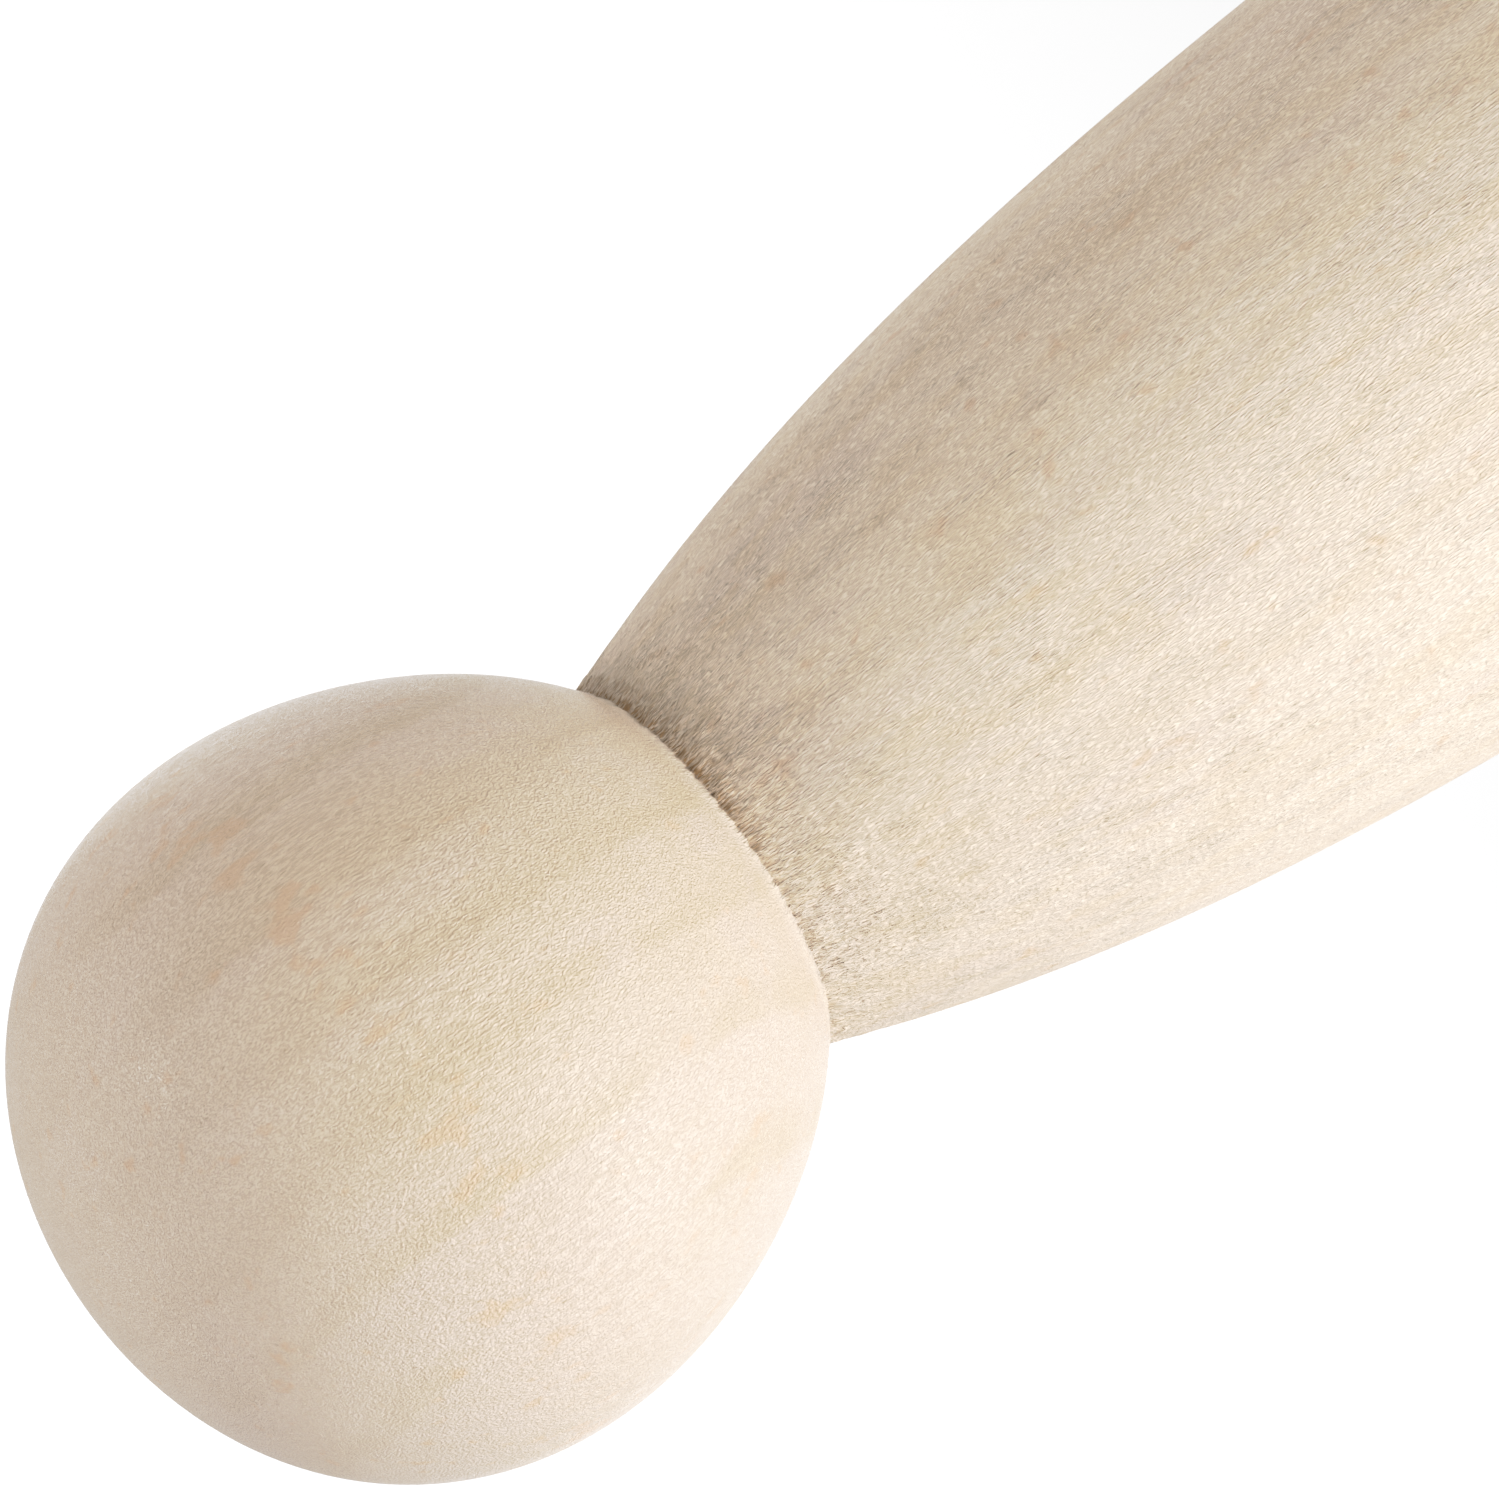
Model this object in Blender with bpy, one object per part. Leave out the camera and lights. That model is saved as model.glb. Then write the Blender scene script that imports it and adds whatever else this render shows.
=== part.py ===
"""Wooden bar muddler: one piece of wood turned on a lathe.

A ball knob on top fits the palm, a sharp V-shaped neck is cut under it, and the
body swells from the neck into a thick, nearly straight shaft that ends in the
flat face that crushes fruit and herbs.

Frame: the muddler stands on its flat face, +Z up, origin at the face's centre.
Units are metres.
"""
from math import cos, exp, pi, radians, sin

import bmesh
import bpy

# Overall sizes
LENGTH = 0.210          # flat face to the crown of the knob
KNOB_RADIUS = 0.018     # mean radius of the ball
BODY_RADIUS = 0.0205    # thickest part of the shaft
SWELL = 0.0276          # how slowly the neck opens out into the shaft
FACE_EDGE = 0.0025      # radius that softens the rim of the flat face

# The ball isn't a true sphere: it is a little long, flat on its crown and full
# at its shoulders, as a knife grinds it on a copying lathe.
KNOB_SHIFT = -0.010
KNOB_STRETCH = 0.026
KNOB_SHOULDER = -0.024
NECK_ANGLE = radians(148.5)   # from the crown to the cut under the ball

# Facets
TURN_STEPS = 64
KNOB_STEPS = 17
BODY_STEPS = 16
EDGE_STEPS = 5


def knob_reach(angle):
    """Distance from the ball's centre to its surface, at an angle from the crown."""
    return KNOB_RADIUS * (
        1
        + KNOB_SHIFT * cos(angle)
        + KNOB_STRETCH * cos(2 * angle)
        + KNOB_SHOULDER * cos(3 * angle)
    )


KNOB_Z = LENGTH - knob_reach(0)
NECK_RADIUS = knob_reach(NECK_ANGLE) * sin(NECK_ANGLE)
NECK_Z = KNOB_Z + knob_reach(NECK_ANGLE) * cos(NECK_ANGLE)


def knob_profile():
    """Half outline of the ball, from the crown down to the bottom of the V cut."""
    points = []
    for step in range(KNOB_STEPS + 1):
        angle = NECK_ANGLE * step / KNOB_STEPS
        reach = knob_reach(angle)
        points.append((reach * sin(angle), KNOB_Z + reach * cos(angle)))
    return points


def body_radius(drop):
    """Radius of the shaft at a distance below the bottom of the V cut."""
    return BODY_RADIUS - (BODY_RADIUS - NECK_RADIUS) * exp(-drop / SWELL)


def body_profile():
    """Half outline of the shaft: rings crowd where the neck curves most."""
    points = []
    length = NECK_Z - FACE_EDGE
    for step in range(1, BODY_STEPS + 1):
        drop = length * (step / BODY_STEPS) ** 2
        points.append((body_radius(drop), NECK_Z - drop))
    return points


def face_profile():
    """Softened rim of the flat face, and the face's centre."""
    points = []
    rim_radius = body_radius(NECK_Z - FACE_EDGE) - FACE_EDGE
    for step in range(1, EDGE_STEPS + 1):
        angle = pi / 2 * step / EDGE_STEPS
        points.append((rim_radius + FACE_EDGE * cos(angle), FACE_EDGE * (1 - sin(angle))))
    points.append((0.0, 0.0))
    return points


def turned(name, profile):
    """Object turned round Z from a half outline that runs from top to bottom."""
    mesh = bpy.data.meshes.new(name)
    outline = bmesh.new()
    verts = [outline.verts.new((radius, 0.0, height)) for radius, height in profile]
    for upper, lower in zip(verts, verts[1:]):
        outline.edges.new((upper, lower))
    outline.to_mesh(mesh)
    outline.free()
    obj = bpy.data.objects.new(name, mesh)
    bpy.context.scene.collection.objects.link(obj)
    screw = obj.modifiers.new("Turn", "SCREW")
    screw.axis = "Z"
    screw.angle = 2 * pi
    screw.steps = TURN_STEPS
    screw.render_steps = TURN_STEPS
    screw.use_merge_vertices = True
    screw.merge_threshold = 0.00001
    screw.use_smooth_shade = True
    return obj


def raw_wood():
    """Pale, unvarnished hardwood."""
    material = bpy.data.materials.new("raw_wood")
    material.use_nodes = True
    shader = material.node_tree.nodes["Principled BSDF"]
    shader.inputs["Base Color"].default_value = (0.74, 0.61, 0.45, 1.0)
    shader.inputs["Roughness"].default_value = 0.62
    shader.inputs["Metallic"].default_value = 0.0
    return material


for old in list(bpy.data.objects):
    bpy.data.objects.remove(old, do_unlink=True)

muddler = turned("muddler", knob_profile() + body_profile() + face_profile())
muddler.data.materials.append(raw_wood())
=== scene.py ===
"""Wooden bar muddler: one turned piece of pale, unvarnished wood."""
from math import cos, exp, pi, radians, sin

import bpy
from mathutils import Matrix, Vector


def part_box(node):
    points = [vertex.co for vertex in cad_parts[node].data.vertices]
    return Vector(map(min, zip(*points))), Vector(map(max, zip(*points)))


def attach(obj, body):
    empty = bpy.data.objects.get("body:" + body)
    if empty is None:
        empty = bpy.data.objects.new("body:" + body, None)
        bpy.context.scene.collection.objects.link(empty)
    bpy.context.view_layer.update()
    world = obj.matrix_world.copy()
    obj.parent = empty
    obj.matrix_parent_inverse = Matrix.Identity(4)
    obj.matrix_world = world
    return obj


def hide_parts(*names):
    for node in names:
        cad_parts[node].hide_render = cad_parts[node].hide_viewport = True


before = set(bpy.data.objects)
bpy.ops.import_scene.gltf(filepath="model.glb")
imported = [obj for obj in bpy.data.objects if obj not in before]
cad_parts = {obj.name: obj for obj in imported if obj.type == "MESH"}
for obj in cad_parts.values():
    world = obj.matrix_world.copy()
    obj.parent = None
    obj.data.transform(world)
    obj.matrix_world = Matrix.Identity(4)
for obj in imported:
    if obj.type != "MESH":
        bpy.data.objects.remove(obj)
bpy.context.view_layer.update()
bpy.ops.object.select_all(action="DESELECT")


# ---------------------------------------------------------------- camera
# A long lens close to the ball knob: it looks a little down on the standing
# muddler, and is rolled until the knob lies low on the left and the shaft
# runs out of the frame at the top right.
muddler_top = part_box("muddler")[1][2]
knob_radius = 0.018
lens_distance = 0.236
focal_length = 128.2
look_down = radians(17.0)
roll = radians(125.4)
aim = Vector((0.0031, -0.0059, muddler_top - 0.0371))

forward = Vector((0, cos(look_down), -sin(look_down)))
level_up = Vector((0, sin(look_down), cos(look_down)))
level_right = Vector((1, 0, 0))
frame_right = cos(roll) * level_right - sin(roll) * level_up
frame_up = sin(roll) * level_right + cos(roll) * level_up

camera_data = bpy.data.cameras.new("close_lens")
camera_data.lens = focal_length
camera_data.sensor_width = 36
camera_data.clip_start = 0.01
camera = bpy.data.objects.new("close_lens", camera_data)
bpy.context.scene.collection.objects.link(camera)
turn = Matrix((frame_right, frame_up, -forward)).transposed().to_4x4()
camera.matrix_world = Matrix.Translation(aim - forward * lens_distance) @ turn
bpy.context.scene.camera = camera


# ---------------------------------------------------------------- turned shape
# The muddler is one square of wood spun on a copying lathe: a ball ground a
# little flat on its crown, a V cut under it, and a shaft that swells from the
# cut to the flat crushing face.
shaft_radius = 0.0205
swell = 0.0276
face_edge = 0.0025
neck_angle = radians(148.5)
knob_shift = -0.010
knob_stretch = 0.026
knob_shoulder = -0.024


def knob_reach(angle):
    """Distance from the ball's centre to its surface, at an angle from the crown."""
    shift = knob_shift * cos(angle)
    stretch = knob_stretch * cos(2 * angle)
    shoulder = knob_shoulder * cos(3 * angle)
    return knob_radius * (1 + shift + stretch + shoulder)


knob_z = muddler_top - knob_reach(0)
neck_radius = knob_reach(neck_angle) * sin(neck_angle)
neck_z = knob_z + knob_reach(neck_angle) * cos(neck_angle)
shaft_length = neck_z - face_edge


def shaft_reach(drop):
    """Radius of the shaft at a distance below the bottom of the V cut."""
    return shaft_radius - (shaft_radius - neck_radius) * exp(-drop / swell)


def half_outline():
    """Points from the crown down the outside to the centre of the flat face.

    The rings crowd together towards the V cut, where the torn part needs them.
    """
    points = []
    knob_rings = 90
    knob_crowding = 1.4
    for ring in range(knob_rings + 1):
        angle = neck_angle * (1 - (1 - ring / knob_rings) ** knob_crowding)
        reach = knob_reach(angle)
        points.append((reach * sin(angle), knob_z + reach * cos(angle)))
    shaft_rings = 170
    shaft_crowding = 1.7
    for ring in range(1, shaft_rings + 1):
        drop = shaft_length * (ring / shaft_rings) ** shaft_crowding
        points.append((shaft_reach(drop), neck_z - drop))
    rim_radius = shaft_reach(shaft_length) - face_edge
    rim_rings = 8
    for ring in range(1, rim_rings + 1):
        angle = pi / 2 * ring / rim_rings
        out = rim_radius + face_edge * cos(angle)
        points.append((out, face_edge * (1 - sin(angle))))
    face_rings = 8
    for ring in range(1, face_rings + 1):
        points.append((rim_radius * (1 - ring / face_rings), 0))
    return points


outline = half_outline()
bpy.ops.mesh.primitive_plane_add(size=0.001, location=(0, 0, 0))
turned_muddler = bpy.context.active_object
turned_muddler.name = "turned_muddler"
bpy.ops.object.mode_set(mode="EDIT")
bpy.ops.mesh.delete(type="EDGE_FACE")
bpy.ops.mesh.select_all(action="SELECT")
bpy.ops.mesh.merge(type="CENTER")
bpy.ops.transform.translate(value=(outline[0][0], 0, outline[0][1]))
for here, there in zip(outline, outline[1:]):
    step = (there[0] - here[0], 0, there[1] - here[1])
    bpy.ops.mesh.extrude_vertices_move(TRANSFORM_OT_translate={"value": step})
bpy.ops.mesh.select_all(action="SELECT")
turn_steps = 320
bpy.ops.mesh.spin(steps=turn_steps, angle=2 * pi, center=(0, 0, 0), axis=(0, 0, 1))
bpy.ops.mesh.select_all(action="SELECT")
bpy.ops.mesh.remove_doubles(threshold=0.00001)
bpy.ops.mesh.normals_make_consistent(inside=False)
bpy.ops.object.mode_set(mode="OBJECT")

# The knife tore the fibres in the V cut: the surface is ragged just below the
# bottom of the cut, and the ball's lip is a little chewed.
torn_part = turned_muddler.vertex_groups.new(name="torn_part")
shaft_fade = 0.0016
lip_fade = 0.00035
torn_from = -0.002
torn_to = 0.008
for point in turned_muddler.data.vertices:
    drop = neck_z - point.co.z
    fade = shaft_fade if drop > 0 else lip_fade
    if torn_from < drop < torn_to:
        torn_part.add([point.index], exp(-abs(drop) / fade), "REPLACE")

# The tufts are two and a half times as long as they are wide.
bpy.ops.object.empty_add(location=(0, 0, 0))
fibre_stretch = bpy.context.active_object
fibre_stretch.scale = (1, 1, 2.5)
fibre_tufts = bpy.data.textures.new("fibre_tufts", "CLOUDS")
tuft_size = 0.00045
fibre_tufts.noise_scale = tuft_size
fibre_tufts.noise_depth = 1
bpy.ops.object.select_all(action="DESELECT")
turned_muddler.select_set(True)
bpy.context.view_layer.objects.active = turned_muddler
bpy.context.view_layer.update()
tearing = turned_muddler.modifiers.new("tearing", "DISPLACE")
tearing.texture = fibre_tufts
tearing.texture_coords = "OBJECT"
tearing.texture_coords_object = fibre_stretch
tearing.vertex_group = "torn_part"
tearing.strength = tuft_size
bpy.ops.object.modifier_apply(modifier="tearing")
bpy.data.objects.remove(fibre_stretch)
turned_muddler.vertex_groups.clear()
bpy.ops.object.shade_smooth_by_angle(angle=radians(40))

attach(turned_muddler, "root")
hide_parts("muddler")


# ---------------------------------------------------------------- raw wood
# Pale close-grained hardwood straight from the lathe, with no varnish: growth
# rings run the length of the piece as faint honey bands, and the fibres stand
# up a little on the shaft and are torn where the knife cut the neck.
raw_wood = bpy.data.materials.new("raw_wood")
raw_wood.use_nodes = True
wood_nodes = raw_wood.node_tree.nodes
wood_links = raw_wood.node_tree.links
wood_shader = wood_nodes["Principled BSDF"]
wood_place = wood_nodes.new("ShaderNodeTexCoord").outputs["Object"]
mm = 0.001


def figure(across, along, detail=2.0, shift=0.0, place=wood_place):
    """Noise from 0 to 1 whose marks are so many metres across and along the grain."""
    mapping = wood_nodes.new("ShaderNodeMapping")
    mapping.inputs["Scale"].default_value = (1 / across, 1 / across, 1 / along)
    mapping.inputs["Location"].default_value = (shift, shift, shift)
    noise = wood_nodes.new("ShaderNodeTexNoise")
    noise.inputs["Scale"].default_value = 1.0
    noise.inputs["Detail"].default_value = detail
    wood_links.new(place, mapping.inputs["Vector"])
    wood_links.new(mapping.outputs["Vector"], noise.inputs["Vector"])
    return noise.outputs["Fac"]


def between(value, low, high, out_low=0.0, out_high=1.0):
    """Value mapped smoothly from low..high to out_low..out_high."""
    node = wood_nodes.new("ShaderNodeMapRange")
    node.interpolation_type = "SMOOTHSTEP"
    node.inputs["From Min"].default_value = low
    node.inputs["From Max"].default_value = high
    node.inputs["To Min"].default_value = out_low
    node.inputs["To Max"].default_value = out_high
    wood_links.new(value, node.inputs["Value"])
    return node.outputs["Result"]


def sums(operation, first, second):
    """One arithmetic step on two values, either of which may be a plain number."""
    node = wood_nodes.new("ShaderNodeMath")
    node.operation = operation
    for socket, value in zip(node.inputs, (first, second)):
        if isinstance(value, (int, float)):
            socket.default_value = value
        else:
            wood_links.new(value, socket)
    return node.outputs["Value"]


def times(first, second):
    """Product of two values, either of which may be a plain number."""
    return sums("MULTIPLY", first, second)


def tint(under, over, amount):
    """Colour under, covered by colour over by an amount from 0 to 1."""
    node = wood_nodes.new("ShaderNodeMix")
    node.data_type = "RGBA"
    for socket, value in ((node.inputs["A"], under), (node.inputs["B"], over)):
        if isinstance(value, tuple):
            socket.default_value = value
        else:
            wood_links.new(value, socket)
    wood_links.new(amount, node.inputs["Factor"])
    return node.outputs["Result"]


split = wood_nodes.new("ShaderNodeSeparateXYZ")
wood_links.new(wood_place, split.inputs["Vector"])
sideways = split.outputs["X"]
height = split.outputs["Z"]
below_neck = sums("SUBTRACT", neck_z, height)
on_shaft = between(below_neck, -0.6 * mm, 0.1 * mm)


def by_part(ball_amount, shaft_amount):
    """One amount on the ball and another on the shaft."""
    return between(on_shaft, 0, 1, ball_amount, shaft_amount)


# The shaft's skin unrolled, for fibres that the knife laid along the surface.
# Its join runs down the back.
mean_radius = 15 * mm
way_round = sums("ARCTAN2", sideways, times(split.outputs["Y"], -1))
unrolled = wood_nodes.new("ShaderNodeCombineXYZ")
wood_links.new(times(way_round, mean_radius), unrolled.inputs["X"])
wood_links.new(height, unrolled.inputs["Z"])
shaft_skin = unrolled.outputs["Vector"]

# Growth rings: the tree's centre was far out to one side, so they cross the
# piece as nearly flat sheets about 5 mm apart. Each ends in darker late wood,
# and here and there in a thin dark line.
tree_centre = 110 * mm
ring_gap = 4.9 * mm
ring_start = 0.65
from_centre = wood_nodes.new("ShaderNodeMapping")
from_centre.inputs["Location"].default_value = (-tree_centre, 0, 0)
from_centre.inputs["Scale"].default_value = (1, 1, 0)
wood_links.new(wood_place, from_centre.inputs["Vector"])
distance = wood_nodes.new("ShaderNodeVectorMath")
distance.operation = "LENGTH"
wood_links.new(from_centre.outputs["Vector"], distance.inputs[0])
ring_distance = distance.outputs["Value"]
wander = times(figure(9 * mm, 60 * mm, 1.0, shift=3.1), 0.55)
ring_count = sums("ADD", sums("DIVIDE", ring_distance, ring_gap), wander)
ring_age = sums("FRACT", sums("ADD", ring_count, ring_start), 0)
late_wood = times(between(ring_age, 0.45, 0.86), between(ring_age, 0.88, 1.0, 1.0, 0.0))
late_broken = between(figure(3.0 * mm, 22 * mm, 3.0, shift=7.7), 0.30, 0.52)
late_wood = times(times(late_wood, late_broken), by_part(0.95, 0.26))
ring_line = times(between(ring_age, 0.83, 0.88), between(ring_age, 0.90, 0.93, 1.0, 0.0))
line_broken = between(figure(0.9 * mm, 9 * mm, 1.0, shift=83.0), 0.56, 0.68)
ring_line = times(times(ring_line, line_broken), by_part(0.0, 0.18))

# Heart zone: a golden band with wandering edges, near the middle of the piece.
heart_offset = sums("SUBTRACT", ring_distance, tree_centre - 3 * mm)
heart_edge = times(figure(4 * mm, 30 * mm, 2.0, shift=19.0), 6 * mm)
heart_depth = sums("ADD", sums("ABSOLUTE", heart_offset, 0), heart_edge)
heart = between(heart_depth, 8 * mm, 15 * mm, 1.0, 0.0)

# Ground colours. The shaft's torn skin is paler and drier than the ball's, and
# the crown shows paler end grain.
spring_cream = (0.750, 0.604, 0.489, 1)
heart_cream = (0.737, 0.590, 0.442, 1)
dry_pale = (0.960, 0.790, 0.625, 1)
late_honey = (0.672, 0.530, 0.378, 1)
pale_cream = (0.768, 0.620, 0.516, 1)
streak_gold = (0.780, 0.600, 0.400, 1)
end_grain_pale = (0.752, 0.628, 0.540, 1)
wood_colour = tint(spring_cream, heart_cream, heart)
wood_colour = tint(wood_colour, dry_pale, times(on_shaft, 0.78))
wood_colour = tint(wood_colour, late_honey, late_wood)
patches = figure(3.0 * mm, 28 * mm, 3.0, shift=11.0)
wood_colour = tint(wood_colour, pale_cream, between(patches, 0.50, 0.66, 0.0, 0.5))
honey_patches = times(between(patches, 0.50, 0.34), by_part(0.28, 0.16))
wood_colour = tint(wood_colour, late_honey, honey_patches)
streaks = between(figure(1.3 * mm, 24 * mm, 2.0, shift=37.0), 0.50, 0.38)
wood_colour = tint(wood_colour, streak_gold, times(streaks, by_part(0.0, 0.38)))
crown_end = between(below_neck, -18 * mm, -29 * mm, 0.0, 0.6)
wood_colour = tint(wood_colour, end_grain_pale, crown_end)

# Fibres: fine pale ridges with darker gaps between them, the darkness partly the
# wood's own colour and partly painted shade of the standing fibres, open pores,
# and here and there a set of long straight lines where the knife lifted them.
grain_and_shade_brown = (0.330, 0.225, 0.130, 1)
bruise_and_rim_light_pale = (0.850, 0.720, 0.590, 1)
ball_fibres = between(figure(0.07 * mm, 0.7 * mm, 0.0, shift=5.0), 0.36, 0.64)
shaft_figure = figure(0.065 * mm, 0.42 * mm, 1.0, shift=5.0, place=shaft_skin)
shaft_fibres = between(shaft_figure, 0.36, 0.64)
fibres = sums("ADD", times(shaft_fibres, on_shaft), times(ball_fibres, by_part(1, 0)))
lifted = between(figure(0.09 * mm, 3 * mm, 0.0, shift=61.0, place=shaft_skin), 0.53, 0.61)
lifted = times(lifted, between(figure(1.8 * mm, 5 * mm, 1.0, shift=71.0), 0.50, 0.60))
lifted = times(lifted, on_shaft)
flecks = between(figure(0.24 * mm, 1.3 * mm, 2.0, shift=97.0), 0.35, 0.65, 0.0, 0.2)
wood_colour = tint(wood_colour, late_honey, flecks)
# Partly painted shade: the gaps between the fibres are tinted towards brown.
wood_colour = tint(wood_colour, grain_and_shade_brown, between(fibres, 0.0, 1.0, 0.32, 0.0))
wood_colour = tint(wood_colour, bruise_and_rim_light_pale, times(lifted, 0.4))
wood_colour = tint(wood_colour, grain_and_shade_brown, ring_line)
pores = between(figure(0.12 * mm, 0.8 * mm, 0.0, shift=17.0), 0.74, 0.84, 0.0, 0.4)
wood_colour = tint(wood_colour, grain_and_shade_brown, pores)

# Peach stains: a few on the shaft, and more in a ring round the ball where
# the knife rubbed.
stain_peach = (0.660, 0.450, 0.290, 1)
rub_height = knob_z + 4.2 * mm
from_rub = sums("ABSOLUTE", sums("SUBTRACT", height, rub_height), 0)
rub_band = between(from_rub, 0, 2.4 * mm, 0.12, 0.0)
stains = sums("ADD", figure(1.1 * mm, 1.9 * mm, 2.0, shift=29.0), rub_band)
wood_colour = tint(wood_colour, stain_peach, between(stains, 0.62, 0.76, 0.0, 0.6))

# The V cut: the ball's lip over it is painted pale, partly bruised and partly
# painted rim light. The shaft's side is frayed, and painted shade darkens the
# gaps between the torn fibres and tints the crease golden, most of all on the
# +X side away from the low soft box. The bottom is singed, and painted shade
# deepens the singe on that same side.
# The golden honey below is painted shade for the crease.
crease_shade_honey = (0.750, 0.530, 0.310, 1)
# The brown below is the singe, deepened by painted shade.
singe_and_shade_brown = (0.400, 0.240, 0.115, 1)
# The ball's lip is painted pale: partly a bruised burr, partly painted rim light.
lip = between(below_neck, -1.0 * mm, -0.1 * mm, 0.0, 0.4)
lip = times(lip, between(below_neck, -0.05 * mm, 0.05 * mm, 1.0, 0.0))
wood_colour = tint(wood_colour, bruise_and_rim_light_pale, lip)
torn_figure = figure(0.15 * mm, 0.5 * mm, 1.0, shift=41.0, place=shaft_skin)
torn_fibres = between(torn_figure, 0.36, 0.62)
frayed = between(below_neck, 3.2 * mm, 0.2 * mm)
frayed = times(frayed, between(below_neck, -0.1 * mm, 0.1 * mm))
# Painted shade: the frayed band darkens and turns golden towards the +X side, away from
# the low soft box, most of all in the gaps between the torn fibres.
shaded_side = times(between(sideways, -5 * mm, 4 * mm, 0.1, 1.0), frayed)
shaded_gaps = times(between(torn_fibres, 0.0, 0.8, 1.0, 0.0), shaded_side)
wood_colour = tint(wood_colour, crease_shade_honey, times(shaded_side, 0.20))
wood_colour = tint(wood_colour, grain_and_shade_brown, times(shaded_gaps, 0.06))
wood_colour = tint(wood_colour, bruise_and_rim_light_pale, times(times(torn_fibres, frayed), 0.5))
# The singe is partly a burn at the bottom of the cut and partly painted shade, strongest
# on the +X side away from the low soft box.
singe_and_shade_gaps = times(between(below_neck, 1.8 * mm, 0.2 * mm, 0.0, 0.7), shaded_gaps)
singe_and_shade_floor = times(between(below_neck, 0.6 * mm, 0.1 * mm, 0.0, 0.35), shaded_side)
singe_and_shade = sums("ADD", singe_and_shade_gaps, singe_and_shade_floor)
singe_and_shade = times(singe_and_shade, between(below_neck, -0.10 * mm, 0))
wood_colour = tint(wood_colour, singe_and_shade_brown, singe_and_shade)
wood_links.new(wood_colour, wood_shader.inputs["Base Color"])

# Relief: standing fibres on the shaft, deepest at the neck, and a fine grit
# on the ball, which the knife left almost polished.
fibre_depth = 0.046 * mm
grit_depth = 0.026 * mm
torn_depth = 0.045 * mm
fibre_bump = wood_nodes.new("ShaderNodeBump")
fibre_bump.inputs["Distance"].default_value = fibre_depth
wood_links.new(by_part(0.35, 1.0), fibre_bump.inputs["Strength"])
wood_links.new(sums("ADD", fibres, lifted), fibre_bump.inputs["Height"])
grit = between(figure(0.11 * mm, 0.15 * mm, 1.0, shift=53.0), 0.36, 0.64)
grit_bump = wood_nodes.new("ShaderNodeBump")
grit_bump.inputs["Distance"].default_value = grit_depth
wood_links.new(by_part(1.0, 0.6), grit_bump.inputs["Strength"])
wood_links.new(grit, grit_bump.inputs["Height"])
wood_links.new(fibre_bump.outputs["Normal"], grit_bump.inputs["Normal"])
torn_strength = times(between(below_neck, 7 * mm, 0.2 * mm), on_shaft)
torn_bump = wood_nodes.new("ShaderNodeBump")
torn_bump.inputs["Distance"].default_value = torn_depth
wood_links.new(torn_strength, torn_bump.inputs["Strength"])
wood_links.new(torn_fibres, torn_bump.inputs["Height"])
wood_links.new(grit_bump.outputs["Normal"], torn_bump.inputs["Normal"])
wood_links.new(torn_bump.outputs["Normal"], wood_shader.inputs["Normal"])

# Ridges shine a little more than the gaps, and the ball more than the shaft.
dullness = between(fibres, 0, 1, 0.66, 0.52)
burnish = between(below_neck, -1 * mm, 1 * mm, -0.28, 0.0)
wood_links.new(sums("ADD", dullness, burnish), wood_shader.inputs["Roughness"])
wood_shader.inputs["Specular IOR Level"].default_value = 0.32

turned_muddler.data.materials.clear()
turned_muddler.data.materials.append(raw_wood)


# ---------------------------------------------------------------- white table and light
# The muddler stands on a plain white table in a white tent. The main soft box
# sits low beside it, one hangs overhead, a weak one stands in front, and a
# large one whitens the table far behind it.
bpy.ops.mesh.primitive_plane_add(size=8, location=(0, 0, 0))
table = bpy.context.active_object
table.name = "white_table"
table_white = bpy.data.materials.new("table_white")
table_white.use_nodes = True
table_shader = table_white.node_tree.nodes["Principled BSDF"]
table_shader.inputs["Base Color"].default_value = (0.72, 0.72, 0.72, 1)
table_shader.inputs["Roughness"].default_value = 0.9
table_shader.inputs["Specular IOR Level"].default_value = 0.0
table.data.materials.append(table_white)

tent = bpy.data.worlds.new("white_tent")
tent.use_nodes = True
tent.node_tree.nodes["Background"].inputs["Color"].default_value = (1, 1, 1, 1)
tent.node_tree.nodes["Background"].inputs["Strength"].default_value = 0.63
bpy.context.scene.world = tent


def soft_light(name, place, target, width, height, watts):
    """Rectangular soft box at a place, turned to a target."""
    data = bpy.data.lights.new(name, "AREA")
    data.shape = "RECTANGLE"
    data.size = width
    data.size_y = height
    data.energy = watts
    light = bpy.data.objects.new(name, data)
    bpy.context.scene.collection.objects.link(light)
    aim_line = Vector(target) - Vector(place)
    facing = aim_line.to_track_quat("-Z", "Y").to_matrix().to_4x4()
    light.matrix_world = Matrix.Translation(place) @ facing
    light.visible_camera = False
    return light


key_box = soft_light("key_box", (-0.20, -0.15, 0.055), (0, 0, 0.17), 0.26, 0.09, 0.56)
key_box.data.spread = radians(120)
soft_light("top_box", (0.46, -0.06, 0.93), (0, 0, 0.15), 0.2, 0.2, 2.2)
soft_light("front_box", (0.05, -0.70, 0.55), (0, 0, 0.12), 0.6, 0.6, 0.30)
back_light = soft_light("back_light", (0, 1.32, 0.6), (0, 1.32, 0), 2.6, 2.1, 31)
back_light.data.spread = radians(110)

# The film: straight up to light cream, then a long soft shoulder to white.
view = bpy.context.scene.view_settings
view.view_transform = "Standard"
view.use_curve_mapping = True
brightest = 1.36
shoulder = ((0.2, 0.2), (0.4, 0.4), (0.6, 0.6), (0.8, 0.73), (1.0, 0.84), (1.2, 0.94))
view.curve_mapping.white_level = (brightest, brightest, brightest)
film = view.curve_mapping.curves[3]
for scene_light, shown in shoulder:
    film.points.new(scene_light / brightest, shown)
view.curve_mapping.update()
